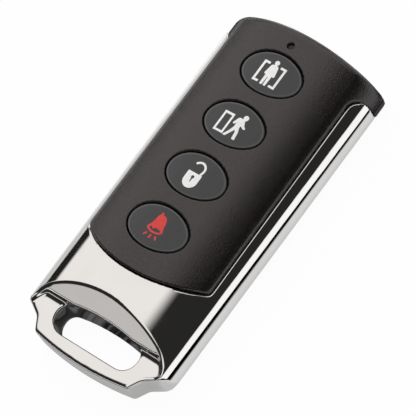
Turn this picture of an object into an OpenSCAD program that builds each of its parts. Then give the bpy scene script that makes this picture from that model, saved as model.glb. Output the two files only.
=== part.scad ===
// Four-key alarm fob: crowned black cover in a bright U-shaped frame with a key-ring slot.
// X runs across the fob, +Y points to the head, +Z to the front. The back rests on Z = 0.

/* [Front cover] */
// Width of the cover between the side rails
cover_wid = 28.5; // [27.8:0.1:30]
// Radius of the crowned front, seen along the length
crown_r = 26.8; // [25:0.1:30]
// Wall of the plastic shells
shell_wall = 1.2; // [1:0.05:1.4]
// Margin from the last key's opening to the cover's lower edge
cover_tail = 4.65; // [4.2:0.05:6]
// Radius of the cover's lower edge in plan
cover_end_r = 25.5; // [20:0.5:40]
// Rounding of the cover's lower corners in plan
cover_corner_r = 1.2; // [0.6:0.1:1.6]
// Length of the head that wraps over the ends of the rails
head_len = 4.6; // [4.4:0.1:5.2]
// Radius of the head's end in plan
head_end_r = 140; // [80:5:300]
// Rounding of the head's corners in plan
head_corner_r = 0.8; // [0.5:0.1:1.5]
// Radius of the head's shoulders, seen along the length
shoulder_r = 12; // [10:0.1:14]
// Height of the seam round the head
seam_h = 2.9; // [2.5:0.05:3.2]
// Rounding of the head's front edge
head_edge_r = 1.7; // [1.2:0.1:2]
// Gap between casing pieces that meet
seam_gap = 0.15; // [0.1:0.01:0.2]

/* [Bright frame] */
// Width of each side rail beside the cover
rail_wid = 3.15; // [2.8:0.05:3.4]
// How far the frame's face lies below the cover's
frame_step = 0.8; // [0.5:0.05:1]
// Thickness of the frame under its crowned face
frame_skin = 1.5; // [1.4:0.05:1.7]
// Thickness of the frame's side walls
frame_wall = 2.2; // [2:0.05:2.4]
// Width of the ledge that carries the cover
ledge_wid = 1.2; // [0.9:0.05:1.4]
// Run of the bevel along the rails
bevel_run = 0.65; // [0.5:0.05:0.9]
// Drop of the bevel along the rails
bevel_drop = 1.5; // [1.2:0.05:1.8]
// Inward lean of the side wall over its height
side_draft = 0.35; // [0.1:0.05:0.5]
// How much each side comes in from the head to the ring end
side_taper = 0.75; // [0.3:0.05:0.9]
// Rounding of the rail ends below the head
rail_round = 3.1; // [1.5:0.1:3.1]
// Width of the chamfer round the back edge
foot_run = 1; // [0.6:0.05:1.2]
// Height of the chamfer round the back edge
foot_h = 1.2; // [0.8:0.05:1.4]
// Distance of the case's hollow from the crescent's apex
hollow_gap = 0.6; // [0.4:0.05:1]
// Length of the crowned face between cover and crescent
face_len = 6.15; // [5.5:0.05:8]

/* [Key-ring end] */
// Length of the key-ring slot
slot_len = 19.2; // [16:0.1:20]
// Width of the key-ring slot
slot_wid = 6.1; // [5.5:0.1:7]
// How much the slot's upper edge falls towards its ends
slot_fall = 1; // [0.6:0.05:1.2]
// Rounding of the slot's lower corners
slot_low_r = 3; // [2.4:0.1:3.2]
// Depth of the bar between slot and ring end
bar_depth = 3.1; // [2.8:0.1:4]
// Height of the bar's face over the back
bar_h = 5.8; // [5:0.1:6.2]
// Width of the bar at its end corners
bar_wid = 22.3; // [21:0.1:23.5]
// Radius of the bar's end in plan
bar_end_r = 61; // [40:1:120]
// Rounding of the bar's corners
bar_corner_r = 0.8; // [0.4:0.1:1.2]
// Width across the notches beside the bar
notch_wid = 25.5; // [24.5:0.1:26.5]
// Distance of the notches from the ring end
notch_up = 3.7; // [3.2:0.1:4.2]
// Rounding in the notches
notch_r = 1.5; // [0.8:0.1:1.8]
// Distance of the ears from the ring end
ear_up = 6.1; // [5.6:0.1:7]
// Rounding of the ears
ear_r = 3.8; // [1.4:0.1:5]
// Length of the crescent on the centre line
crescent_len = 3.45; // [3:0.05:4]
// Slope of the crescent in degrees
crescent_slope = 49; // [44:1:52]
// Step at the crescent's curved edge
crescent_step = 0.1; // [0:0.05:0.4]
// Depth in plan of the crescent's curved edge
crescent_bow = 8.3; // [7:0.1:9]
// Fullness of the crescent's curve, 2 for an ellipse
crescent_full = 3; // [2.4:0.1:3.4]
// Margin between the crescent's ends and the side walls
crescent_side = 2; // [1.8:0.05:2.4]
// Distance of the bar's step below the slot's upper edge
step_inset = 0.5; // [0.3:0.05:0.8]
// Run of the bar's step
step_run = 0.15; // [0.1:0.05:0.5]
// Rounding at the foot of the bar's step
step_foot_r = 0.9; // [0.5:0.05:1.1]

/* [Keys] */
// Distance from the head's end to the first key
first_key = 10.4; // [10:0.1:11.4]
// Distance between neighbouring keys
key_pitch = 12; // [11.6:0.1:13]
// Length of a key across the fob
key_len = 12.8; // [12:0.1:13.4]
// Width of a key along the fob
key_wid = 8.5; // [8:0.1:8.9]
// Gap round a key in its opening
key_gap = 0.3; // [0.25:0.01:0.4]
// Depth of a key's face below the cover's
key_sink = 0.15; // [0.05:0.05:0.3]
// Size of the rounded edge of a key
key_edge = 0.4; // [0.2:0.05:0.6]
// Width of the skirt round a key's base
skirt_wid = 0.4; // [0.3:0.05:0.5]
// Thickness of the skirt
skirt_thk = 0.6; // [0.4:0.05:0.7]
// Diameter of the post under a key
post_d = 3; // [2.5:0.1:4]

/* [Key mat] */
// Thickness of the mat
mat_thk = 0.8; // [0.7:0.05:1.2]
// Margin of the mat beside the key openings
mat_margin = 2; // [1.6:0.1:2.3]
// Thickness of the mat's standing edges
mat_leg = 0.8; // [0.6:0.05:1]
// Gap between a key's skirt and the mat
mat_gap = 0.2; // [0.15:0.01:0.25]
// Height of the cover's ribs over the mat's edges
mat_rib_h = 0.27; // [0.2:0.01:0.5]
// Rounding of the mat's corners
mat_corner_r = 3.5; // [3.2:0.1:4]

/* [Status light] */
// Distance from the head's end to the pinhole
light_from_head = 3.9; // [3.7:0.1:4.1]
// Diameter of the pinhole
pinhole_d = 1.3; // [1.1:0.1:1.6]
// Diameter of the light pipe
pipe_d = 2; // [1.9:0.05:2.1]
// Play round the light pipe
pipe_play = 0.1; // [0.08:0.01:0.15]
// Depth of the pipe's tip in the pinhole
pipe_sink = 0.5; // [0.3:0.05:0.8]
// Length of the light under the pipe
led_len = 2; // [1.6:0.1:3]
// Width of the light under the pipe
led_wid = 1.25; // [0.8:0.05:2]

/* [Circuit board] */
// Thickness of the board
board_thk = 1; // [0.8:0.05:1.2]
// Gap between the board's sides and the frame's ledge
board_gap = 0.85; // [0.7:0.05:1.2]
// Gap between the board and the screw bosses
board_clear = 0.4; // [0.3:0.05:0.8]
// Diameter of the posts that carry the board
stand_d = 1.6; // [1.2:0.1:2]
// Side of a key switch
switch_wid = 4.5; // [4:0.1:5]
// Height of a key switch
switch_h = 1.8; // [1.5:0.05:2]
// Diameter of a switch plunger
plunger_d = 2.4; // [2:0.1:2.6]
// Play round a plunger in its switch
plunger_play = 0.1; // [0.08:0.01:0.15]
// Rise of a plunger over its switch
plunger_rise = 0.55; // [0.5:0.05:0.7]
// Side of the microcontroller
controller_wid = 4; // [3:0.1:5]
// Side of the radio chip
radio_wid = 3.4; // [3:0.1:4]
// Height of the chips
chip_h = 0.9; // [0.7:0.05:1]
// Length of the crystal's can
crystal_len = 3.2; // [2.5:0.1:4]
// Width of the crystal's can
crystal_wid = 2.5; // [2:0.1:3]
// Height of the crystal's can
crystal_h = 0.7; // [0.5:0.05:1]
// Length of a small resistor or capacitor
small_len = 1.6; // [1:0.1:2]
// Width of a small resistor or capacitor
small_wid = 0.8; // [0.5:0.05:1.2]
// Height of a small resistor or capacitor
small_h = 0.55; // [0.4:0.05:0.9]
// Width of the copper antenna loop
antenna_wid = 1.2; // [0.8:0.1:1.5]

/* [Battery] */
// Diameter of the coin cell
cell_d = 20; // [18:0.1:21]
// Thickness of the coin cell
cell_thk = 3.2; // [2.5:0.1:3.6]
// Rim of the cell's can round its gasket
can_rim = 0.25; // [0.2:0.05:0.4]
// Width of the cell's gasket
gasket_wid = 0.8; // [0.5:0.05:1.2]
// Height of the cell's gasket
gasket_h = 0.6; // [0.4:0.05:1]
// Thickness of the positive clip
clip_thk = 0.25; // [0.2:0.05:0.4]
// Width of the positive clip
clip_wid = 6; // [5:0.1:8]
// Thickness of the negative contact
contact_thk = 0.3; // [0.2:0.05:0.5]
// Diameter of the negative contact
contact_d = 8; // [6:0.1:12]

/* [Screws] */
// Shank diameter of a case screw
screw_d = 1.8; // [1.6:0.1:2]
// Head diameter of a case screw
screw_head_d = 3.6; // [3.2:0.1:3.8]
// Head height of a case screw
screw_head_h = 1.3; // [1:0.05:1.4]
// Shank length of a case screw
screw_len = 5; // [4.5:0.1:5.4]
// Depth of a screw's head below the back
screw_sink = 0.2; // [0.1:0.05:0.3]
// Play round a screw in the rear cover
screw_play = 0.2; // [0.1:0.05:0.3]
// Depth of a pilot hole past its screw
pilot_over = 0.6; // [0.4:0.05:0.8]
// Diameter of the bosses that take the screws
boss_d = 4.2; // [4:0.1:4.4]
// Gap between a boss and the frame beside it
boss_gap = 0.5; // [0.4:0.05:0.7]

/* [Hidden] */

KEY_COUNT = 4;
SEAT = 0.05;        // running gap of the stacked inner pieces
OVER = 1;           // how far a cutter runs past what it cuts
FINE = 180;         // sides of the large crown circles in the preview
ROUND = 48;         // sides of the small circles in the preview

// Stack of the inner pieces, from the back
cell_z = shell_wall + clip_thk + SEAT;
gasket_z = cell_thk - gasket_h - 4 * SEAT;
gasket_d = cell_d - 2 * (can_rim + SEAT);
contact_z = cell_z + cell_thk + SEAT;
board_z = contact_z + contact_thk;
board_top = board_z + board_thk;
plunger_top = board_top + switch_h + plunger_rise;
mat_z = plunger_top + 2 * SEAT;
mat_top = mat_z + mat_thk;

// Ovals of the keys and of what goes round them, as half length and half width
key_oval = [key_len / 2, key_wid / 2];
hole_oval = key_oval + [key_gap, key_gap];
skirt_oval = key_oval + [skirt_wid, skirt_wid];
web_oval = skirt_oval + [mat_gap, mat_gap];
web_half = web_oval.x + mat_margin;

// The crown just clears the mat's edges, which sets the fob's thickness
cover_in_r = crown_r - shell_wall;
crown_z = mat_top + mat_rib_h - sqrt(pow(cover_in_r, 2) - pow(web_half, 2));
body_thk = crown_z + crown_r;
frame_r = crown_r - frame_step;
frame_in_r = frame_r - frame_skin;

// Chain of lengths from the head to the ring end
cover_len = first_key + (KEY_COUNT - 1) * key_pitch + hole_oval.y + cover_tail;
body_len = cover_len + face_len + crescent_len + slot_wid + bar_depth;
y_head = body_len / 2;
y_ring = -body_len / 2;
y_rail = y_head - head_len;
y_cover = y_head - cover_len;
y_slot = y_ring + bar_depth + slot_wid / 2;
y_apex = y_slot + slot_wid / 2 + crescent_len;
y_step = y_slot + slot_wid / 2 - step_inset;
y_light = y_head - light_from_head;

// Widths
cover_half = cover_wid / 2;
half_w = cover_half + rail_wid;
taper_angle = atan(side_taper / body_len);
notch_fillet = min(rail_round, rail_wid - SEAT);
y_neck = y_rail - notch_fillet;
tray_half = half_w - frame_wall - seam_gap;
y_cavity = y_apex + hollow_gap;
board_half = cover_half - ledge_wid - board_gap;

// Shoulder of the head: an arc that leaves the crown smoothly and comes down to the seam at the side
shoulder_in = crown_r - shoulder_r;
seam_reach = norm([half_w, seam_h - crown_z]);
seam_part = pow(seam_reach, 2) + pow(shoulder_in, 2) - pow(shoulder_r, 2);
shoulder_top = atan2(seam_h - crown_z, half_w) + acos(seam_part / (2 * seam_reach * shoulder_in));
shoulder_x = shoulder_in * cos(shoulder_top);
shoulder_z = crown_z + shoulder_in * sin(shoulder_top) + 2 * SEAT;
shoulder_low = atan2(seam_h + 2 * SEAT - shoulder_z, half_w - shoulder_x);

// Bevel along the rails, at the head, and its pitch that keeps it even where the rails come in
bevel_x = half_w - side_draft - bevel_run;
bevel_z = crown_at(frame_r, bevel_x);
bevel_low = bevel_z - bevel_drop;
bevel_pitch = atan(tan(taper_angle) * bevel_x / (bevel_z - crown_z));

// Coin cell, in the middle of the keys, and the strap round it
y_cell = y_head - first_key - (KEY_COUNT - 1) * key_pitch / 2;
clip_reach = cell_d / 2 + clip_thk + 3 * SEAT;

// Screws: two in the head, one behind the bright face
boss_r = boss_d / 2;
screw_seat = screw_sink + screw_head_h;
pilot_r = screw_d / 2 + SEAT;
pilot_end = screw_seat + screw_len + pilot_over;
boss_x = cover_half - ledge_wid - boss_gap - boss_r;
y_boss = y_rail - 2 * SEAT;
y_low_boss = y_cavity + boss_gap + boss_r;
board_low = y_low_boss + boss_r + board_clear;
SCREWS = [[boss_x, y_boss], [-boss_x, y_boss], [0, y_low_boss]];

function key_y(i) = y_head - first_key - i * key_pitch;
function crown_at(r, x) = crown_z + sqrt(r * r - x * x);
function unit(v) = v / norm(v);
function xy(p) = [p.x, p.y];
function oval(half, n = ROUND) =
    [for (i = [0:n - 1]) [half.x * cos(360 * i / n), half.y * sin(360 * i / n)]];

// Corner p between its neighbours, rounded to radius r in n steps
function corner(before, p, after, r, n = 8) =
    r <= 0 ? [p] :
    let (u = unit(before - p), v = unit(after - p), half = acos(u * v) / 2,
         c = p + unit(u + v) * r / sin(half),
         s = p + u * r / tan(half) - c, e = p + v * r / tan(half) - c,
         a = atan2(s.y, s.x), turn = atan2(s.x * e.y - s.y * e.x, s * e))
    [for (i = [0:n]) c + r * [cos(a + turn * i / n), sin(a + turn * i / n)]];

// Closed outline from corners given as [x, y, radius]
function rounded(pts) =
    let (n = len(pts))
    [for (i = [0:n - 1]) each corner(xy(pts[(i + n - 1) % n]), xy(pts[i]), xy(pts[(i + 1) % n]), pts[i].z)];

// Right half of an outline joined to its mirror image
function both_sides(half) =
    concat(half, [for (i = [len(half) - 1:-1:0]) [-half[i].x, half[i].y, half[i].z]]);

// Points on an end arc of radius r that bulges along -Y, from the middle out to x
function end_arc(y, r, x, n) = [for (i = [0.5:n - 1]) [x * i / n, arc_y(y, r, x * i / n), 0]];
function head_arc(g) =
    [for (p = [0.7, 0.5, 0.3, 0.1]) [half_w * p, -arc_y(-y_head - g, head_end_r, half_w * p), 0]];
function arc_y(y, r, x) = y + r - sqrt(r * r - x * x);

module along_y() {
    translate([0, body_len, 0]) rotate([90, 0, 0]) linear_extrude(2 * body_len) children();
}

module along_x() {
    translate([-half_w - OVER, 0, 0]) rotate([90, 0, 90]) linear_extrude(2 * (half_w + OVER)) children();
}

module upright(low, high) {
    translate([0, 0, low]) linear_extrude(high - low) children();
}

module drill(d, low, high) {
    translate([0, 0, low]) cylinder(d = d, h = high - low, $fn = ROUND);
}

// Round bar along the fob, centred on the crown's axis
module crown_bar(r) {
    translate([0, body_len, crown_z]) rotate([90, 0, 0]) cylinder(r = r, h = 2 * body_len, $fn = FINE);
}

// Plan of the cover, grown by g on every side
module cover_plan(g = 0) {
    x = cover_half + g;
    polygon(rounded(both_sides(concat(
        end_arc(y_cover - g, cover_end_r + g, x, 10),
        [[x, arc_y(y_cover - g, cover_end_r + g, x), cover_corner_r + g],
         [x, y_rail - g, notch_fillet - g],
         [half_w + g, y_rail - g, 0],
         [half_w + g, -arc_y(-y_head - g, head_end_r, half_w + g), head_corner_r + g]],
        head_arc(g)
    ))));
}

// Plan of the head alone, down to the neck where the rails end
module head_plan(g = 0) {
    intersection() {
        cover_plan(g);
        translate([-half_w - OVER, y_neck - g]) square([2 * (half_w + OVER), body_len]);
    }
}

// Hollow of the head and its way into the case
module head_hollow(side) {
    x = half_w - shell_wall;
    translate([-x, y_rail + shell_wall]) square([2 * x, head_len - 2 * shell_wall - seam_gap]);
    translate([-side, y_neck - OVER]) square([2 * side, y_rail + shell_wall - y_neck + 2 * OVER]);
}

// Section of the head across the fob, drawn in by one amount at the crown and another at the side
module head_section(inset = 0, side = 0) {
    x = half_w - side;
    steps = 12;
    shoulder = [for (i = [0:steps])
        let (a = shoulder_low + (shoulder_top - shoulder_low) * i / steps,
             r = shoulder_r - side - (inset - side) * sin(a))
        [shoulder_x + r * cos(a), shoulder_z + r * sin(a), 0]];
    top = shoulder[len(shoulder) - 1].x;
    polygon(rounded(both_sides(concat(
        [[x - foot_run, 0, 0], [x, foot_h, 0]], shoulder, [[top, body_thk + OVER, 0]]
    ))));
}

// Chamfered back edge of the head's end
module head_side() {
    polygon([
        [y_neck - OVER, 0], [y_head - foot_run, 0], [y_head, foot_h],
        [y_head, body_thk + OVER], [y_neck - OVER, body_thk + OVER]
    ]);
}

// Long body with the head's crown and shoulders, its end drawn back and its skin drawn in
module drawn_in(back, skin) {
    intersection() {
        translate([0, -back, 0]) upright(-OVER, body_thk + OVER) polygon(rounded(both_sides(concat(
            [[half_w + OVER, y_ring, 0],
             [half_w + OVER, -arc_y(-y_head, head_end_r, half_w + OVER), 0]],
            head_arc(0)
        ))));
        along_y() head_section(skin, -SEAT);
        crown_bar(crown_r - skin);
    }
}

// Form that rounds the edge of the head's end
module head_round() {
    hull() {
        drawn_in(-SEAT, head_edge_r);
        for (a = [30, 60]) drawn_in(head_edge_r * (1 - cos(a)), head_edge_r * (1 - sin(a)));
        drawn_in(head_edge_r, -SEAT);
    }
}

module head_body() {
    intersection() {
        upright(0, body_thk + OVER) head_plan();
        along_y() head_section();
        along_x() head_side();
        crown_bar(crown_r);
        head_round();
    }
}

module key_places() {
    for (i = [0:KEY_COUNT - 1]) translate([0, key_y(i), 0]) children();
}

// Black soft-touch shell with the key openings and the wrapped head
module front_cover() {
    rib_y = [key_y(KEY_COUNT - 1) - web_oval.y, key_y(0)];
    color([0.12, 0.115, 0.11]) difference() {
        union() {
            intersection() {
                upright(0, body_thk + OVER) cover_plan();
                along_y() head_section();
                head_round();
                difference() {
                    crown_bar(crown_r);
                    crown_bar(cover_in_r);
                }
                upright(seam_h, body_thk + OVER) square(3 * body_len, center = true);
            }
            difference() {
                intersection() {
                    head_body();
                    upright(seam_h + seam_gap / 2, body_thk + OVER) square(3 * body_len, center = true);
                }
                intersection() {
                    upright(0, body_thk) head_hollow(cover_half - ledge_wid);
                    along_y() head_section(shell_wall, shell_wall);
                    crown_bar(cover_in_r);
                }
            }
            intersection() {
                crown_bar(cover_in_r + SEAT);
                union() {
                    for (side = [-1, 1]) {
                        translate([side * boss_x, y_boss, 0])
                            drill(boss_d, seam_h + seam_gap / 2, body_thk);
                        translate([side * (web_half - mat_leg / 2) - mat_leg / 2, rib_y[0], mat_top])
                            cube([mat_leg, rib_y[1] - rib_y[0], body_thk - mat_top]);
                    }
                    translate([0, y_light, 0])
                        drill(pipe_d + 2 * shell_wall, mat_top + mat_rib_h, body_thk);
                }
            }
        }
        key_places() upright(mat_z, body_thk + OVER) polygon(oval(hole_oval));
        translate([0, y_light, 0]) drill(pinhole_d, mat_z, body_thk + OVER);
        translate([0, y_light, 0]) drill(pipe_d + 2 * pipe_play, mat_z, crown_at(cover_in_r, 0));
        for (side = [-1, 1])
            translate([side * boss_x, y_boss, 0]) drill(2 * pilot_r, 0, pilot_end);
    }
}

// Bar along one side of the frame, turned in with the rails and pitched up towards the ring end
module side_bar(side, profile, pitch) {
    turn_at = [side * half_w, y_head, 0];
    translate(turn_at) rotate([-pitch, 0, -side * taper_angle]) translate(-turn_at)
        along_y() polygon([for (p = profile) [side * p.x, p.y]]);
}

// Bounds of one side of the frame: leaning wall on a chamfered foot, and the bevel above it
module frame_side(side) {
    far = -half_w - OVER;
    top = body_thk + OVER;
    lean = side_draft / (bevel_low - foot_h);
    slant = bevel_run / bevel_drop;
    wall = [
        [far, 0], [half_w - foot_run, 0], [half_w, foot_h],
        [half_w - (top - foot_h) * lean, top], [far, top]
    ];
    bevel = [
        [far, -top], [bevel_x + (bevel_z + top) * slant, -top],
        [bevel_x - (top - bevel_z) * slant, top], [far, top]
    ];
    intersection() {
        side_bar(side, wall, 0);
        side_bar(side, bevel, bevel_pitch);
    }
}

// Plan of the frame: end bar, notches, ears and the two rails
module frame_plan() {
    bar_half = bar_wid / 2;
    ear_x = half_w + SEAT - (body_len - ear_up) * tan(taper_angle);
    polygon(rounded(both_sides(concat(
        end_arc(y_ring, bar_end_r, bar_half, 6),
        [[bar_half, arc_y(y_ring, bar_end_r, bar_half), bar_corner_r],
         [notch_wid / 2, y_ring + notch_up, notch_r],
         [ear_x, y_ring + ear_up, ear_r],
         [half_w + SEAT, y_rail, 0]]
    ))));
}

// Everything cut away above the crescent and the ring bar
module scoop() {
    a = half_w - crescent_side;
    y_bow = y_apex - crescent_bow;
    z_apex = crown_at(frame_r, 0) - crescent_step;
    z_step = z_apex - (y_apex - y_step) * tan(crescent_slope);
    foot_r = min(step_foot_r, z_step - bar_h - SEAT);
    ahead = 2;
    intersection() {
        upright(0, body_thk + OVER) polygon(concat(
            [for (t = [0:5:180])
                [sign(cos(t)) * a * pow(abs(cos(t)), 2 / crescent_full),
                 y_bow + crescent_bow * pow(sin(t), 2 / crescent_full)]],
            [[-a, y_ring - OVER], [a, y_ring - OVER]]
        ));
        along_x() polygon(rounded([
            [y_apex + ahead, z_apex + ahead * tan(crescent_slope), 0], [y_step, z_step, 0],
            [y_step - step_run, bar_h, foot_r], [y_ring - OVER, bar_h, 0],
            [y_ring - OVER, body_thk + OVER, 0], [y_apex + ahead, body_thk + OVER, 0]
        ]));
    }
}

// Slot for the key ring, its upper edge bowed
module ring_slot() {
    end = slot_len / 2;
    half = slot_wid / 2;
    slot_high_r = slot_wid - slot_fall - slot_low_r - 2 * SEAT;
    translate([0, y_slot, 0]) upright(-OVER, body_thk + OVER) polygon(rounded(both_sides(concat(
        [[end, -half, slot_low_r], [end, half - slot_fall, slot_high_r]],
        [for (p = [0.6, 0.45, 0.3, 0.15]) [end * p, half - slot_fall * p * p, 0]]
    ))));
}

// Mirror-bright U-shaped frame with the key-ring bar
module chrome_frame() {
    inner = half_w - frame_wall;
    color([0.8, 0.79, 0.78]) difference() {
        union() {
            difference() {
                intersection() {
                    upright(0, body_thk + OVER) frame_plan();
                    frame_side(1);
                    frame_side(-1);
                    crown_bar(frame_r);
                }
                intersection() {
                    crown_bar(frame_in_r);
                    translate([-inner, y_cavity, -OVER]) cube([2 * inner, body_len, body_thk + 2 * OVER]);
                }
                difference() {
                    upright(0, body_thk + OVER) cover_plan(seam_gap);
                    crown_bar(cover_in_r - 2 * SEAT);
                }
                upright(0, body_thk + OVER) head_plan(seam_gap);
                upright(bar_h, body_thk + OVER) cover_plan(-ledge_wid);
                scoop();
                ring_slot();
            }
            intersection() {
                crown_bar(frame_in_r + SEAT);
                translate([0, y_low_boss, 0]) drill(boss_d, seam_h + seam_gap / 2, body_thk);
            }
        }
        translate([0, y_low_boss, 0]) drill(2 * pilot_r, 0, pilot_end);
    }
}

// Black back shell: tray between the rails, lower half of the head, battery bay and board posts
module rear_cover() {
    y_tray = y_cavity + seam_gap;
    rim_half = tray_half - shell_wall;
    rim_h = seam_h - seam_gap / 2;
    bay_r = clip_reach + SEAT;
    bay_h = shell_wall + 0.7 * cell_thk;
    stand_r = stand_d / 2;
    stand_y = [key_y(0), y_cell - bay_r - 3 * stand_r, y_low_boss + boss_r + 3 * stand_r];
    color([0.1, 0.1, 0.1]) difference() {
        union() {
            difference() {
                union() {
                    translate([-tray_half, y_tray, 0]) cube([2 * tray_half, y_neck - y_tray + OVER, rim_h]);
                    intersection() {
                        head_body();
                        upright(0, rim_h) square(3 * body_len, center = true);
                    }
                }
                upright(shell_wall, body_thk) {
                    translate([-rim_half, y_tray + shell_wall]) square([2 * rim_half, y_neck - y_tray]);
                    head_hollow(rim_half);
                }
            }
            for (at = SCREWS) translate(at) drill(boss_d, shell_wall / 2, rim_h);
            for (side = [-1, 1], y = stand_y)
                translate([side * (board_half - stand_r - SEAT), y, 0])
                    drill(stand_d, shell_wall / 2, board_z);
            translate([0, y_cell, 0]) difference() {
                drill(2 * (bay_r + shell_wall), shell_wall / 2, bay_h);
                drill(2 * bay_r, 0, body_thk);
                upright(0, body_thk) square([2 * body_len, clip_wid + 4 * shell_wall], center = true);
            }
        }
        for (at = SCREWS) translate(at) {
            drill(screw_d + 2 * screw_play, -OVER, body_thk);
            drill(screw_head_d + 2 * screw_play, -OVER, screw_seat);
        }
    }
}

// Face of a key: the oval cut by the crown, with a rounded edge
module key_slice(inset, drop) {
    intersection() {
        upright(mat_z + 2 * SEAT, body_thk) polygon(oval(key_oval - [inset, inset]));
        crown_bar(crown_r - key_sink - drop);
    }
}

// Soft key with its skirt and the post that presses the plunger
module soft_key(i) {
    color([0.27, 0.27, 0.29]) translate([0, key_y(i), 0]) {
        hull() {
            key_slice(0, key_edge);
            key_slice(0.3 * key_edge, 0.3 * key_edge);
            key_slice(key_edge, 0);
        }
        upright(mat_z + 2 * SEAT, mat_z + 2 * SEAT + skirt_thk) polygon(oval(skirt_oval));
        drill(post_d, plunger_top, mat_z + 3 * SEAT);
    }
}

module key_stay() { soft_key(0); }
module key_away() { soft_key(1); }
module key_disarm() { soft_key(2); }
module key_panic() { soft_key(3); }

// Silicone mat: a sheet with the key openings, standing on the board on two long edges
module keypad_web() {
    low = key_y(KEY_COUNT - 1) - web_oval.y - mat_margin / 2;
    high = key_y(0) + web_oval.y + mat_margin / 2;
    color([0.22, 0.22, 0.24]) difference() {
        union() {
            upright(mat_z, mat_top) polygon(rounded(both_sides([
                [web_half, low, mat_corner_r], [web_half, high, mat_corner_r]
            ])));
            for (side = [-1, 1])
                translate([side * (web_half - mat_leg / 2) - mat_leg / 2, low + mat_corner_r, board_top])
                    cube([mat_leg, high - low - 2 * mat_corner_r, mat_z - board_top + SEAT]);
        }
        key_places() upright(mat_z - OVER, mat_top + OVER) polygon(oval(web_oval));
        translate([0, y_light, 0]) drill(pipe_d + 4 * pipe_play, mat_z - OVER, mat_top + OVER);
    }
}

// Clear rod from the light up into the pinhole
module light_pipe() {
    color([0.75, 0.82, 0.9]) translate([0, y_light, 0]) {
        drill(pipe_d, board_top + chip_h + 4 * SEAT, crown_at(cover_in_r, 0) - 2 * SEAT);
        drill(pinhole_d - 2 * pipe_play, board_top + chip_h + 4 * SEAT, body_thk - pipe_sink);
    }
}

// Board with a tongue that reaches the status light between the screw bosses
module circuit_board() {
    tongue = boss_x - boss_r - board_clear;
    high = y_boss - boss_r - board_clear;
    end = y_head - shell_wall - board_clear;
    color([0.05, 0.3, 0.16]) upright(board_z, board_top) {
        translate([-board_half, board_low]) square([2 * board_half, high - board_low]);
        translate([-tongue, high - OVER]) square([2 * tongue, end - high + OVER]);
    }
}

// Housings of the four key switches
module tact_switches() {
    color([0.2, 0.2, 0.2]) key_places() difference() {
        upright(board_top, board_top + switch_h) square(switch_wid, center = true);
        drill(plunger_d + 2 * plunger_play, board_top + switch_h / 3, board_top + switch_h + OVER);
    }
}

module plunger(i) {
    color([0.85, 0.8, 0.65]) translate([0, key_y(i), 0])
        drill(plunger_d, board_top + 0.6 * switch_h, plunger_top);
}

module plunger_stay() { plunger(0); }
module plunger_away() { plunger(1); }
module plunger_disarm() { plunger(2); }
module plunger_panic() { plunger(3); }

// Square part on the board, midway between the switches and the mat's edge
module chip(side, y, size, h) {
    x = (switch_wid / 2 + web_half - mat_leg) / 2;
    translate([side * x, y, 0]) upright(board_top, board_top + h) square(size, center = true);
}

module microcontroller() {
    color([0.08, 0.08, 0.09]) chip(1, key_y(1), controller_wid, chip_h);
}

module radio_chip() {
    color([0.1, 0.1, 0.11]) chip(-1, key_y(1), radio_wid, chip_h);
}

module crystal() {
    color([0.75, 0.75, 0.72]) chip(1, key_y(2), [crystal_len, crystal_wid], crystal_h);
}

// Small resistors and capacitors in two columns
module chip_parts() {
    color([0.55, 0.45, 0.32]) for (side = [-1, 1], i = [0, 2.5, 3], step = [-1, 1])
        chip(side, key_y(i) + 1.5 * step * small_wid, [small_len, small_wid], small_h);
}

// Copper loop round the lower part of the board
module antenna() {
    edge = board_half - antenna_wid / 2;
    low = board_low + antenna_wid / 2;
    high = key_y(1);
    color([0.75, 0.42, 0.22]) upright(board_top, board_top + 2 * SEAT) difference() {
        translate([-edge, low]) square([2 * edge, high - low]);
        translate([antenna_wid - edge, low + antenna_wid]) square([2 * (edge - antenna_wid), high - low]);
    }
}

module status_led() {
    color([0.9, 0.9, 0.85]) translate([0, y_light, 0]) upright(board_top, board_top + chip_h)
        square([led_len, led_wid], center = true);
}

// Moves its children to the coin cell's place
module cell_place() {
    translate([0, y_cell, cell_z]) children();
}

// Positive can of the coin cell, filled, with the rim that holds the gasket
module cell_can() {
    color([0.72, 0.72, 0.7]) cell_place() difference() {
        drill(cell_d, 0, gasket_z + gasket_h);
        drill(cell_d - 2 * can_rim, gasket_z, cell_thk + OVER);
    }
}

module cell_gasket() {
    color([0.3, 0.3, 0.32]) cell_place() difference() {
        drill(gasket_d, gasket_z, gasket_z + gasket_h);
        drill(gasket_d - 2 * gasket_wid, 0, cell_thk);
    }
}

module cell_cap() {
    color([0.65, 0.65, 0.64]) cell_place() drill(gasket_d - 2 * (gasket_wid + SEAT), gasket_z, cell_thk);
}

// Sprung strap that passes behind the cell, with two legs up to the board
module positive_clip() {
    color([0.78, 0.76, 0.7]) translate([0, y_cell, 0]) {
        upright(shell_wall, shell_wall + clip_thk) square([2 * clip_reach, clip_wid], center = true);
        for (side = [-1, 1]) translate([side * (clip_reach - clip_thk / 2), 0, 0])
            upright(shell_wall, board_z) square([clip_thk, clip_wid], center = true);
    }
}

module negative_contact() {
    color([0.8, 0.68, 0.3]) translate([0, y_cell, 0])
        drill(contact_d, contact_z, board_z);
}

// Three case screws, driven in from the back
module case_screws() {
    cross = [0.6 * screw_head_d, 0.2 * screw_head_d];
    color([0.35, 0.35, 0.36]) for (at = SCREWS) translate(at) difference() {
        union() {
            drill(screw_head_d, screw_seat - screw_head_h, screw_seat);
            drill(screw_d, screw_seat - SEAT, screw_seat + screw_len);
        }
        for (turn = [0, 90]) rotate(turn)
            upright(0, screw_seat - screw_head_h / 2) square(cross, center = true);
    }
}

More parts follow.
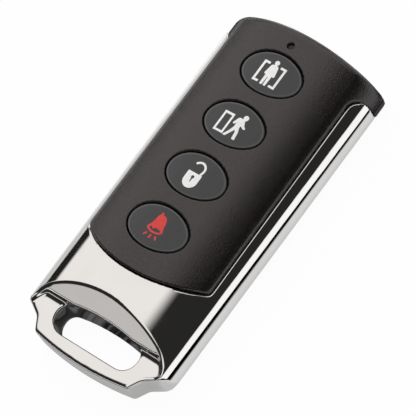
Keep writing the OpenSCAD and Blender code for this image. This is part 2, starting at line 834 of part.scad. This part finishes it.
front_cover();
chrome_frame();
rear_cover();
key_stay();
key_away();
key_disarm();
key_panic();
keypad_web();
light_pipe();
circuit_board();
tact_switches();
plunger_stay();
plunger_away();
plunger_disarm();
plunger_panic();
microcontroller();
radio_chip();
crystal();
chip_parts();
antenna();
status_led();
cell_can();
cell_cap();
cell_gasket();
positive_clip();
negative_contact();
case_screws();
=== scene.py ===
import math

import bmesh
import bpy
from mathutils import Matrix, Vector
from mathutils.kdtree import KDTree


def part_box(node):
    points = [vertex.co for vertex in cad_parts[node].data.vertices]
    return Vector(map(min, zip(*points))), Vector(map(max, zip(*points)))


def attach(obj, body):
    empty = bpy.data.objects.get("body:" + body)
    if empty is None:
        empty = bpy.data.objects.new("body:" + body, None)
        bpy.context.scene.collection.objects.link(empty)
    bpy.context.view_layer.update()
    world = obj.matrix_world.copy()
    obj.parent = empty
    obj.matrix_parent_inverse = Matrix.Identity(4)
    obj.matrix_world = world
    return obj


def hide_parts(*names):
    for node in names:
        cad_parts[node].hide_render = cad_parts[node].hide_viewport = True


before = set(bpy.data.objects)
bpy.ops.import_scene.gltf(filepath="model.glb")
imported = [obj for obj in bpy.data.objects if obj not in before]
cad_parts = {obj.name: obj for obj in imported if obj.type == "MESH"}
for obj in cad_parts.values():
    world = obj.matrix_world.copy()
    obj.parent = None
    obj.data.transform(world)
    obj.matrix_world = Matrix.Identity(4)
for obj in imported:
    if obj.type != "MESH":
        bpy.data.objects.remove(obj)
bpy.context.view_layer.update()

# Camera: a long lens above the ring end and to the right, looking down at the fob, which lies on its back.
# The view was fitted to the key openings, the slot and the head of the fob.
MM = 0.001
aim_point = Vector((0, 8.8, 12.4)) * MM
view_right = Vector((0.776, 0.5779, -0.2525))
view_back = Vector((0.4612, -0.2468, 0.8523))
view_up = view_back.cross(view_right)
view_range = 435.2 * MM
frame_px = 416
focal_px = 2379.4
aim_px = Vector((214.05, 149.03))
off_centre = (Vector((frame_px, frame_px)) / 2 - aim_px) / focal_px

back = (view_back - view_right * off_centre.x + view_up * off_centre.y).normalized()
right = (view_right - back * view_right.dot(back)).normalized()
up = back.cross(right)
turn = Matrix((right, up, back)).transposed().to_4x4()
lens = bpy.data.cameras.new("view")
lens.sensor_width = 36
lens.lens = focal_px * lens.sensor_width / frame_px
lens.clip_start = 0.01
camera = bpy.data.objects.new("view", lens)
camera.matrix_world = Matrix.Translation(aim_point + view_back * view_range) @ turn
bpy.context.scene.collection.objects.link(camera)
bpy.context.scene.camera = camera
bpy.context.scene.view_settings.view_transform = "Standard"


# Table and studio: a small white table under a broad white ceiling that reaches down on the left.
# The room is dark on the right from the ceiling's edge down, and pale again near the height of the table.
class Tone:
    """A socket of a node tree. Sums of tones add Math nodes."""

    def __init__(self, tree, socket=None):
        self.tree = tree
        self.socket = socket

    def node(self, kind, settings=None, sockets=None, out=0):
        made = self.tree.nodes.new(kind)
        for name, value in (settings or {}).items():
            setattr(made, name, value)
        for name, value in (sockets or {}).items():
            if isinstance(value, Tone):
                self.tree.links.new(value.socket, made.inputs[name])
            else:
                made.inputs[name].default_value = value
        return Tone(self.tree, made.outputs[out]) if made.outputs else None

    def out(self, name):
        return Tone(self.tree, self.socket.node.outputs[name])

    def maths(self, operation, first, second):
        return self.node("ShaderNodeMath", {"operation": operation}, {0: first, 1: second})

    def __add__(self, other):
        return self.maths("ADD", self, other)

    def __radd__(self, other):
        return self.maths("ADD", other, self)

    def __sub__(self, other):
        return self.maths("SUBTRACT", self, other)

    def __rsub__(self, other):
        return self.maths("SUBTRACT", other, self)

    def __mul__(self, other):
        return self.maths("MULTIPLY", self, other)

    def __rmul__(self, other):
        return self.maths("MULTIPLY", other, self)

    def __pow__(self, other):
        return self.maths("POWER", self, other)

    def over(self, low, high):
        return self.node("ShaderNodeMapRange", {"interpolation_type": "SMOOTHSTEP"},
                         {"Value": self, "From Min": low, "From Max": high})


def most(first, second):
    return first.maths("MAXIMUM", first, second)


def blend(amount, first, second):
    ends = [end if isinstance(end, Tone) else (*end, 1) for end in (first, second)]
    return amount.node("ShaderNodeMix", {"data_type": "RGBA"}, {0: amount, 6: ends[0], 7: ends[1]}, out=2)


def split(vector):
    across = vector.node("ShaderNodeSeparateXYZ", None, {0: vector}, out="X")
    return across, across.out("Y"), across.out("Z")


# Painted reflections: only to mirror rays is the table painted by position, with a grey band beside the case, then a
# dark band, and white paper farther out that is dimmer far to the left. To the camera it is plain white.
case_half, case_end = 17.02, 37.2
case_lean = 0.01
table_mat = bpy.data.materials.new("white_table")
table_mat.use_nodes = True
table_mat.node_tree.nodes.clear()
tone = Tone(table_mat.node_tree)
rays = tone.node("ShaderNodeLightPath", out="Is Camera Ray")
mirrored = rays.out("Is Glossy Ray")
across, along, _ = split(tone.node("ShaderNodeTexCoord", out="Object"))
far_left = 1 - across.over(-46 * MM, -38 * MM)
across = across.maths("ABSOLUTE", across, 0) * (1 / MM)
along = along * (1 / MM)
beside = across - case_half - case_lean * along
beyond = along.maths("ABSOLUTE", along, 0) - case_end
away = most(beside, beyond)
near = (1 - away.over(2.7, 3.1)) * (0.61 + 0.12 * away.over(0.6, 2.2))
# Painted shade for mirror rays: the table is darker near the ring end and much darker, in streaks, inside the slot.
ring_end = (1 - along.over(-34, -31)) * (1 - beside.over(-2.5, -0.5))
in_slot = (1 - across.over(9.5, 11.5)) * along.over(-36.5, -35)
slot_shade_streaks = across.node("ShaderNodeTexNoise", {"noise_dimensions": "1D"}, {"W": across, "Scale": 0.55, "Detail": 1})
slot_painted_shade = 0.8 + 0.18 * slot_shade_streaks.over(0.35, 0.65)
near = near * (1 - 0.2 * ring_end) * (1 - slot_painted_shade * in_slot)
level = 1 - mirrored * (1 - most(near, away.over(10, 13) * (1 - 0.4 * far_left)))
# The table's colour carries the painted reflection bands and painted shade for mirror rays, and plain white for the
# camera.
paper_with_painted_bands = blend(level, (0, 0, 0), (0.9, 0.9, 0.9))
shade = tone.node("ShaderNodeBsdfDiffuse", None, {"Color": paper_with_painted_bands})
glow = tone.node("ShaderNodeEmission", None, {"Color": (1, 1, 1, 1), "Strength": level})
white = most(most(rays, rays.out("Is Transmission Ray")) * 0.96, mirrored * 0.8)
tone.node("ShaderNodeOutputMaterial", None,
          {"Surface": tone.node("ShaderNodeMixShader", None, {0: white, 1: shade, 2: glow})})

table_half = 85 * MM
table_z = -0.02 * MM
bm = bmesh.new()
bmesh.ops.create_grid(bm, x_segments=1, y_segments=1, size=table_half)
bmesh.ops.translate(bm, vec=(0, 0, table_z), verts=bm.verts)
mesh = bpy.data.meshes.new("table")
bm.to_mesh(mesh)
bm.free()
mesh.materials.append(table_mat)
table = bpy.data.objects.new("table", mesh)
bpy.context.scene.collection.objects.link(table)

# The room's brightness goes by direction. The ceiling comes farther forward towards its right edge.
world = bpy.data.worlds.new("studio")
world.use_nodes = True
bpy.context.scene.world = world
tone = Tone(world.node_tree)
across, along, height = split(tone.node("ShaderNodeTexCoord", out="Generated"))
forward = along + 0.55 * across.over(-0.36, -0.12)
ceiling = (1 - across.over(0.14, 0.36)) * height.over(0.04, 0.12) * forward.over(-0.1, 0.08)
low_right = across.over(0.45, 0.75) * (1 - height.over(0.2, 0.34)) * height.over(-0.4, -0.2)
low_front = (1 - along.over(-0.8, -0.6)) * height.over(-0.06, 0.02) * (1 - height.over(0.13, 0.26)) * 0.62
dim = 0.012 + 0.012 * height.over(-1, 1)
from_below = (1 - height.over(-0.7, -0.5)) * 0.7
room = most(most(ceiling, low_right), most(most(low_front, from_below), dim))
room = blend(room, (0, 0, 0), (0.825, 0.803, 0.78))
seen = tone.node("ShaderNodeLightPath", out="Is Camera Ray")
room = blend(seen, room, (1, 1, 1))
world.node_tree.links.new(room.socket, world.node_tree.nodes["Background"].inputs["Color"])

lamp_data = bpy.data.lights.new("soft_lamp", "AREA")
lamp_data.shape = "RECTANGLE"
lamp_data.size = 0.7
lamp_data.size_y = 0.9
lamp_data.energy = 6
lamp = bpy.data.objects.new("soft_lamp", lamp_data)
lamp.location = (-0.45, 0.25, 0.75)
lamp.rotation_euler = Vector(lamp.location).to_track_quat("Z", "Y").to_euler()
lamp.visible_glossy = False
bpy.context.scene.collection.objects.link(lamp)


# Chrome frame: a one-piece die casting, polished and plated to a mirror, with softly rounded edges.
# Its rails hold the cover and its lower bar has the slot for the key ring.
# A slanted crescent falls from the crowned face to the bar and ends at a narrow lip on both sides.
crown_z = -14.396
frame_crown_r = 26.0
apex_y, step_y, foot_y = -24.55, -28.5, -32.85
apex_z, bar_z = 11.5, 5.8
crescent_rise = 1.15
cut_half, cut_full, cut_span = 15.2, 2.2, 13
lip_wid, lip_end = 0.8, 15.7


def eased(value, low, high):
    step = min(max((value - low) / (high - low), 0), 1)
    return step * step * (3 - 2 * step)


def add_lip(bm, side, crown_r, unit):
    """Closed filler at one end of the crescent and the bar. Its inner edge, in plan, is a rounded outline."""
    ear_y, root_z = -31.9, 5
    rows, columns = 46, 14
    grid = []
    for row in range(rows):
        y = ear_y + (apex_y - ear_y) * row / (rows - 1)
        bow = max(y - foot_y, 0) / (apex_y - foot_y)
        edge = cut_half * max(1 - bow ** cut_full, 0) ** (1 / cut_full)
        cut = apex_z + crescent_rise * (y - apex_y) if y > step_y else bar_z
        line = []
        for column in range(columns):
            x = edge + (lip_end - edge) * (column / (columns - 1)) ** 2
            out = cut_span * (((x / cut_half) ** cut_full + bow ** cut_full) ** (1 / cut_full) - 1)
            crown = crown_z + math.sqrt(crown_r ** 2 - x ** 2)
            lip = crown_z + math.sqrt(crown_r ** 2 - (x + max(lip_wid - out, 0)) ** 2)
            line.append([bm.verts.new(Vector((side * x, y, z)) * unit)
                         for z in (root_z, min(crown, max(cut, lip)))])
        grid.append(line)
    faces = []
    for row in range(rows - 1):
        for column in range(columns - 1):
            for level in (0, 1):
                faces.append(bm.faces.new([grid[r][c][level] for r, c in (
                    (row, column), (row + 1, column), (row + 1, column + 1), (row, column + 1))]))
    for column in (0, columns - 1):
        for row in range(rows - 1):
            first, second = grid[row][column], grid[row + 1][column]
            faces.append(bm.faces.new((first[0], second[0], second[1], first[1])))
    for row in (0, rows - 1):
        for column in range(columns - 1):
            first, second = grid[row][column], grid[row][column + 1]
            faces.append(bm.faces.new((first[0], second[0], second[1], first[1])))
    bmesh.ops.recalc_face_normals(bm, faces=faces)


def melt(name, node, voxel, rounds, keep, crown_r=None, softer=0):
    """Copy of a CAD node with its edges rounded over, and with true normals on its crowned face.
    On the frame, the lips are added, and its ring end and the inner edges of its rails get softer rounds more."""
    size = 100
    unit = MM * size
    bm = bmesh.new()
    bm.from_mesh(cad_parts[node].data)
    bmesh.ops.remove_doubles(bm, verts=bm.verts, dist=1e-6)
    bmesh.ops.scale(bm, vec=(size, size, size), verts=bm.verts)
    if softer:
        for side in (-1, 1):
            add_lip(bm, side, crown_r, unit)
    mesh = bpy.data.meshes.new(name)
    bm.to_mesh(mesh)
    bm.free()
    piece = bpy.data.objects.new(name, mesh)
    bpy.context.scene.collection.objects.link(piece)
    grid = piece.modifiers.new("grid", "REMESH")
    grid.mode = "VOXEL"
    grid.voxel_size = voxel * unit
    ease = piece.modifiers.new("ease", "SMOOTH")
    ease.factor = 0.5
    ease.iterations = rounds
    dense = bpy.data.meshes.new_from_object(piece.evaluated_get(bpy.context.evaluated_depsgraph_get()))
    piece.modifiers.clear()
    if softer:
        bm = bmesh.new()
        bm.from_mesh(dense)
        ring_y, face_y = -31 * unit, -24 * unit
        rail_in, rail_out = 9 * unit, 15.6 * unit
        verts = [v for v in bm.verts if v.co.y < ring_y or v.co.y < face_y and abs(v.co.x) < rail_out
                 or rail_in < abs(v.co.x) < rail_out]
        for _ in range(softer):
            bmesh.ops.smooth_vert(bm, verts=verts, factor=0.5, use_axis_x=True, use_axis_y=True, use_axis_z=True)
        bm.to_mesh(dense)
        bm.free()
    piece.data = dense
    thin = piece.modifiers.new("thin", "DECIMATE")
    thin.ratio = keep
    done = bpy.data.meshes.new_from_object(piece.evaluated_get(bpy.context.evaluated_depsgraph_get()))
    piece.modifiers.clear()
    tree = KDTree(len(dense.vertices))
    for v in dense.vertices:
        tree.insert(v.co, v.index)
    tree.balance()
    nearest = 5
    slopes = [sum((dense.vertices[n].normal for _, n, _ in tree.find_n(v.co, nearest)), Vector()).normalized()
              for v in done.vertices]
    done.transform(Matrix.Scale(1 / size, 4))
    done.shade_smooth()
    done.materials.clear()
    for v in done.vertices:
        v.co.z = max(v.co.z, 0)
        if crown_r:
            ray = Vector((v.co.x, 0, v.co.z - crown_z * MM))
            out = ray.normalized()
            on_crown = 1 - eased(abs(ray.length / MM - crown_r), 0.05, 0.25)
            share = on_crown * eased(out.dot(slopes[v.index]), 0.985, 0.997)
            slopes[v.index] = slopes[v.index].lerp(out, share).normalized()
    done.normals_split_custom_set_from_vertices(slopes)
    piece.data = done
    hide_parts(node)
    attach(piece, "case")
    return piece


def finish(name, paint, fixed=None):
    """Material on one Principled shader. paint gives the sockets that vary over the surface."""
    made = bpy.data.materials.new(name)
    made.use_nodes = True
    shader = made.node_tree.nodes["Principled BSDF"]
    place = Tone(made.node_tree).node("ShaderNodeTexCoord", out="Object")
    for socket, value in {**(fixed or {}), **paint(place)}.items():
        if isinstance(value, Tone):
            made.node_tree.links.new(value.socket, shader.inputs[socket])
        else:
            shader.inputs[socket].default_value = value
    return made


def noise(place, size, detail=2):
    return place.node("ShaderNodeTexNoise", None, {"Vector": place, "Scale": 1 / (size * MM), "Detail": detail})


def bump(height, depth, strength=1):
    return height.node("ShaderNodeBump", None,
                       {"Height": height, "Strength": strength, "Distance": depth * MM}, out="Normal")


def plating(place):
    film = noise(place, 6, 3).over(0.35, 0.75)
    return {
        "Base Color": blend(film, (0.98, 0.975, 0.97), (0.955, 0.945, 0.935)),
        "Roughness": 0.03 + 0.05 * film,
        "Normal": bump(noise(place, 9), 0.004, 0.4),
    }


chrome = melt("plated_frame", "chrome_frame", voxel=0.11, rounds=12, keep=0.18,
              crown_r=frame_crown_r, softer=46)
chrome.data.materials.append(finish("mirror_plating", plating, {"Metallic": 1}))


# Front cover: a moulded shell with a soft-touch black coating, open for the keys and the status light.
# Its head wraps over the ends of the rails and it stands a little proud of the frame.
def soft_touch(place):
    grain = noise(place, 0.25, 1)
    return {
        "Base Color": blend(grain.over(0.35, 0.72), (0.003, 0.0022, 0.002), (0.017, 0.013, 0.0122)),
        "Roughness": 0.25 + 0.05 * noise(place, 9),
        "Normal": bump(grain, 0.048, 1),
    }


cover_crown_r = 26.8
cover = melt("soft_cover", "front_cover", voxel=0.16, rounds=6, keep=0.45, crown_r=cover_crown_r)
cover.data.materials.append(finish("soft_touch_black", soft_touch,
                                   {"Specular IOR Level": 1, "Specular Tint": (1, 0.962, 0.966, 1)}))


# Rear cover: a plain black back shell with a fine moulded texture.
# It closes the frame from behind and carries the board and the cell.
def moulded_back(place):
    grain = noise(place, 0.22, 3)
    return {
        "Base Color": blend(noise(place, 12), (0.016, 0.016, 0.016), (0.024, 0.024, 0.0235)),
        "Roughness": 0.48 + 0.14 * grain,
        "Normal": bump(grain, 0.03, 0.5),
    }


shell = melt("back_shell", "rear_cover", voxel=0.2, rounds=4, keep=0.45)
shell.data.materials.append(finish("moulded_black", moulded_back))


# Soft keys: dark grey silicone ovals that follow the crown of the cover, each with a rounded edge.
# A skirt round the base keeps a key in its opening and a post under it presses the switch.
KEYS = {"stay": 26.8, "away": 14.8, "disarm": 2.8, "panic": -9.2}
key_pitch = 12
key_r = 26.65
key_half = (6.4, 4.25)
rim_r = 0.24


def face_z(x):
    return crown_z + math.sqrt(key_r ** 2 - x ** 2)


def key_rubber(place):
    across, along, _ = split(place)
    row = (along - KEYS["stay"] * MM) * (1 / (key_pitch * MM))
    off = row - row.maths("ROUND", row, 0)
    reach = ((across * (1 / (key_half[0] * MM))) ** 2 + (off * (key_pitch / key_half[1])) ** 2) ** 0.5
    grain = noise(place, 0.2, 3)
    return {
        # A lighter ring is painted round the edge of each key face: a painted highlight on its rounded rim.
        "Base Color": blend(reach.over(0.91, 0.95), (0.057, 0.056, 0.059), (0.105, 0.105, 0.11)),
        "Roughness": 0.52 + 0.1 * grain,
        "Normal": bump(grain, 0.02, 0.3),
    }


silicone = finish("key_silicone", key_rubber)
profile = [(0, rim_r), (0.018, 0.15), (0.07, 0.07), (0.15, 0.018), (rim_r, 0)]
face_rings, ring_gap = 10, 0.39
profile += [(rim_r + ring_gap * n, 0) for n in range(1, face_rings + 1)]
for sign, key_y in KEYS.items():
    node = "key_" + sign
    low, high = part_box(node)
    bm = bmesh.new()
    bmesh.ops.create_circle(bm, segments=96, radius=MM)
    bmesh.ops.scale(bm, vec=(*key_half, 1), verts=bm.verts)
    rim = bm.edges[:]
    edge = rim
    last = key_half
    for inset, drop in profile:
        half = [size - inset for size in key_half]
        made = bmesh.ops.extrude_edge_only(bm, edges=edge)["geom"]
        verts = [g for g in made if isinstance(g, bmesh.types.BMVert)]
        edge = [g for g in made if isinstance(g, bmesh.types.BMEdge) and g.is_boundary]
        bmesh.ops.scale(bm, vec=(half[0] / last[0], half[1] / last[1], 1), verts=verts)
        for v in verts:
            v.co.z = (face_z(v.co.x / MM) - drop) * MM
        last = half
    bmesh.ops.holes_fill(bm, edges=edge)
    for v in {v for e in rim for v in e.verts}:
        v.co.z = low.z
    bmesh.ops.holes_fill(bm, edges=rim)
    bmesh.ops.translate(bm, vec=(0, key_y * MM, 0), verts=bm.verts)
    bmesh.ops.recalc_face_normals(bm, faces=bm.faces)
    mesh = bpy.data.meshes.new("soft_" + node)
    bm.to_mesh(mesh)
    bm.free()
    mesh.shade_smooth()
    mesh.materials.append(silicone)
    key = bpy.data.objects.new("soft_" + node, mesh)
    bpy.context.scene.collection.objects.link(key)
    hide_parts(node)
    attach(key, sign + "_key")


# Pictograms: marks printed on the keys in white ink, and in red on the panic key.
# A thin film of ink lies on each key face and follows its crown.
def arc(centre, radius, start, end, count=14):
    turns = [math.radians(start + (end - start) * step / count) for step in range(count + 1)]
    return [(centre[0] + radius * math.cos(a), centre[1] + radius * math.sin(a)) for a in turns]


def soft(points, radius):
    """Outline with its corners rounded."""
    rounded = []
    for n, corner in enumerate(points):
        corner = Vector(corner)
        ends = []
        for other in (points[n - 1], points[(n + 1) % len(points)]):
            side = Vector(other) - corner
            ends.append(corner + side * min(radius / side.length, 0.45))
        rounded += [ends[0], (ends[0] + 2 * corner + ends[1]) / 4, ends[1]]
    return rounded


def stroke(points, width):
    """Outline of a line of even width along the points."""
    sides = [[], []]
    for n, point in enumerate(points):
        run = Vector(points[min(n + 1, len(points) - 1)]) - Vector(points[max(n - 1, 0)])
        reach = Vector((-run.y, run.x)).normalized() * width / 2
        sides[0].append(Vector(point) + reach)
        sides[1].insert(0, Vector(point) - reach)
    return sides[0] + sides[1]


def rectangle(left, low, right, high):
    return [(left, low), (right, low), (right, high), (left, high)]


def bracket(outer, inner, tip):
    return soft([(outer, -2.58), (tip, -2.58), (tip, -2.1), (inner, -2.1), (inner, 1.6), (tip, 1.6), (tip, 2.08),
                 (outer, 2.08)], 0.08)


stander = soft([(-0.75, 1.84), (-1.08, 1.6), (-1.45, -0.35), (-1.28, -0.55), (-1.0, -0.4), (-1.0, -2.7),
                (-0.45, -2.7), (-0.36, -0.8), (-0.26, -0.8), (-0.18, -2.7), (0.33, -2.7), (0.4, -0.45),
                (0.72, -0.6), (0.92, -0.4), (0.52, 1.6), (0.2, 1.84)], 0.12) + arc((-0.29, 2.38), 0.5, -65, 245)
walker = soft([(0.75, 1.72), (0.25, 1.74), (-0.02, 1.5), (-0.47, 0.3), (-0.36, 0.1), (-0.05, 0.14), (0.2, 0.6),
               (0.22, -0.3), (-0.15, -1.35), (-0.87, -2.68), (-0.28, -2.68), (0.36, -1.6), (0.78, -0.8), (1.04, -1.3),
               (1.22, -2.68), (1.88, -2.68), (1.66, -1.1), (1.3, -0.1), (1.34, 0.34), (1.9, 0), (2.28, -0.06),
               (2.42, 0.16), (2.26, 0.38), (1.94, 0.56), (1.62, 1.3)], 0.12) + arc((1.34, 2.13), 0.53, -55, 215)
lock = arc((-0.415, -1.33), 1.535, 180, 360, 24) + [(1.12, 0.37), (-1.95, 0.37)]
keyhole = arc((-0.4, -0.55), 0.33, -62, 242, 20) + [(-0.5, -1.6), (-0.3, -1.6)]
shackle = stroke([(0.62, 0.37), (0.84, 0.95), (0.9, 1.45), (0.8, 1.95), (0.48, 2.36), (0.02, 2.6), (-0.45, 2.64),
                  (-0.88, 2.5), (-1.2, 2.26), (-1.38, 2.02)], 0.44)
bell = soft([(-1.08, 2.36), (-1.27, 1.8), (-1.35, 1.0), (-1.55, 0.15), (-1.96, -0.55), (-1.9, -0.85), (-1.4, -1.2),
             (-0.7, -1.4), (0.1, -1.42), (0.9, -1.24), (1.42, -0.85), (1.5, -0.5), (1.2, 0.1), (1.02, 1.0),
             (0.82, 1.82), (0.36, 2.34), (-0.24, 2.54)], 0.3) + arc((-0.72, 2.6), 0.27, 5, 215, 10)
mouth = soft([(-1.6, -0.55), (-1.15, -0.3), (-0.95, -0.34), (-0.85, -0.68), (-0.55, -0.7), (-0.4, -0.32),
              (0.2, -0.28), (0.9, -0.42), (1.15, -0.62), (0.75, -0.88), (0.05, -1.06),
              (-0.7, -1.04), (-1.3, -0.84)], 0.16)
MARKS = {
    "stay": [[stander], [bracket(-2.9, -2.4, -1.52)], [bracket(2.2, 1.74, 0.88)]],
    "away": [[rectangle(-3.25, -2.58, -0.96, 1.83), rectangle(-2.8, -2.14, -1.38, 1.36)], [walker]],
    "disarm": [[lock, keyhole], [shackle]],
    "panic": [[bell, mouth], [stroke([(-1.2, -1.72), (-1.65, -2.42)], 0.34)],
              [stroke([(-0.22, -1.76), (-0.3, -2.6)], 0.34)], [stroke([(0.74, -1.7), (1.08, -2.42)], 0.34)]],
}
mark_shift = 0.2
film_top, film_root = 0.012, -0.04
film_cuts = [n / 2 for n in range(-7, 8)]


def ink(colour, spent):
    return lambda place: {
        "Base Color": blend(noise(place, 0.5, 3).over(0.3, 0.8), colour, spent),
        "Roughness": 0.42 + 0.2 * noise(place, 0.3),
    }


white_ink = finish("white_ink", ink((0.96, 0.96, 0.95), (0.88, 0.88, 0.87)))
red_ink = finish("red_ink", ink((0.75, 0.06, 0.052), (0.66, 0.05, 0.045)))
for sign, groups in MARKS.items():
    bm = bmesh.new()
    for outlines in groups:
        plan = bpy.data.curves.new("plan", "CURVE")
        plan.dimensions = "2D"
        plan.fill_mode = "BOTH"
        for outline in outlines:
            line = plan.splines.new("POLY")
            line.points.add(len(outline) - 1)
            line.use_cyclic_u = True
            for point, (x, y) in zip(line.points, outline):
                point.co = (x + mark_shift, y, 0, 1)
        holder = bpy.data.objects.new("plan", plan)
        bm.from_mesh(bpy.data.meshes.new_from_object(holder))
        bpy.data.objects.remove(holder)
    bmesh.ops.remove_doubles(bm, verts=bm.verts, dist=1e-4)
    for x in film_cuts:
        bmesh.ops.bisect_plane(bm, geom=bm.verts[:] + bm.edges[:] + bm.faces[:],
                               plane_co=(x, 0, 0), plane_no=(1, 0, 0))
    raised = bmesh.ops.extrude_face_region(bm, geom=bm.faces[:])["geom"]
    raised = {v for v in raised if isinstance(v, bmesh.types.BMVert)}
    for v in bm.verts:
        v.co.z = face_z(v.co.x) + (film_top if v in raised else film_root)
        v.co.y += KEYS[sign]
    bmesh.ops.scale(bm, vec=(MM, MM, MM), verts=bm.verts)
    bmesh.ops.recalc_face_normals(bm, faces=bm.faces)
    mesh = bpy.data.meshes.new("mark_" + sign)
    bm.to_mesh(mesh)
    bm.free()
    mesh.materials.append(red_ink if sign == "panic" else white_ink)
    mark = bpy.data.objects.new("mark_" + sign, mesh)
    bpy.context.scene.collection.objects.link(mark)
    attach(mark, sign + "_key")


# Light pipe and status light: a smoky clear rod that ends below the pinhole in the head.
# It leads the light of a small white lamp on the board to the front.
def mottled(first, second, size, low, high):
    return lambda place: {
        "Base Color": blend(noise(place, size, 3), first, second),
        "Roughness": low + (high - low) * noise(place, size / 3),
    }


def dress(material, *nodes):
    for node in nodes:
        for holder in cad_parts[node].material_slots:
            holder.material = material


dress(finish("smoky_clear", mottled((0.004, 0.004, 0.005), (0.012, 0.013, 0.015), 0.5, 0.3, 0.4)), "light_pipe")
dress(finish("lamp_white", mottled((0.75, 0.75, 0.7), (0.82, 0.82, 0.78), 0.5, 0.3, 0.5)), "status_led")

# Key mat: one moulded sheet of dark silicone that joins the keys behind the cover.
# It stands on the board and springs the keys back.
dress(finish("mat_rubber", mottled((0.02, 0.02, 0.021), (0.03, 0.03, 0.031), 1.5, 0.55, 0.7)), "keypad_web")

# Circuit board with its switches, chips and aerial: a green laminate carrying soldered parts.
# The switch plungers move with the keys above them.
dress(finish("solder_mask", mottled((0.01, 0.09, 0.035), (0.02, 0.13, 0.05), 2, 0.3, 0.45)), "circuit_board")
dress(finish("switch_plastic", mottled((0.02, 0.02, 0.02), (0.03, 0.03, 0.03), 0.8, 0.4, 0.55)), "tact_switches")
dress(finish("cream_plastic", mottled((0.6, 0.55, 0.42), (0.68, 0.63, 0.5), 0.8, 0.4, 0.55)),
      "plunger_stay", "plunger_away", "plunger_disarm", "plunger_panic")
dress(finish("chip_resin", mottled((0.015, 0.015, 0.016), (0.025, 0.025, 0.026), 0.4, 0.5, 0.65)),
      "microcontroller", "radio_chip")
dress(finish("crystal_steel", mottled((0.6, 0.6, 0.58), (0.7, 0.7, 0.68), 1, 0.25, 0.4), {"Metallic": 1}), "crystal")
dress(finish("chip_ceramic", mottled((0.25, 0.17, 0.1), (0.34, 0.24, 0.15), 0.5, 0.4, 0.6)), "chip_parts")
dress(finish("copper_track", mottled((0.7, 0.33, 0.18), (0.8, 0.42, 0.25), 1.5, 0.25, 0.4), {"Metallic": 1}),
      "antenna")

# Coin cell and its contacts: a nickel-plated can and cap with a grey nylon gasket between them.
# A sprung steel strip holds the cell at its side and a brass strip touches its cap.
dress(finish("cell_nickel", mottled((0.62, 0.61, 0.59), (0.7, 0.69, 0.67), 2, 0.22, 0.36), {"Metallic": 1}),
      "cell_can", "cell_cap", "positive_clip")
dress(finish("gasket_nylon", mottled((0.16, 0.16, 0.16), (0.22, 0.22, 0.22), 0.6, 0.45, 0.6)), "cell_gasket")
dress(finish("spring_brass", mottled((0.7, 0.5, 0.2), (0.78, 0.58, 0.28), 1.5, 0.25, 0.4), {"Metallic": 1}),
      "negative_contact")

# Case screws: three small screws of blackened steel.
# They are driven from the back and pull the rear cover against the front cover and the frame.
dress(finish("blackened_steel", mottled((0.06, 0.06, 0.06), (0.1, 0.1, 0.1), 0.6, 0.35, 0.5), {"Metallic": 1}),
      "case_screws")
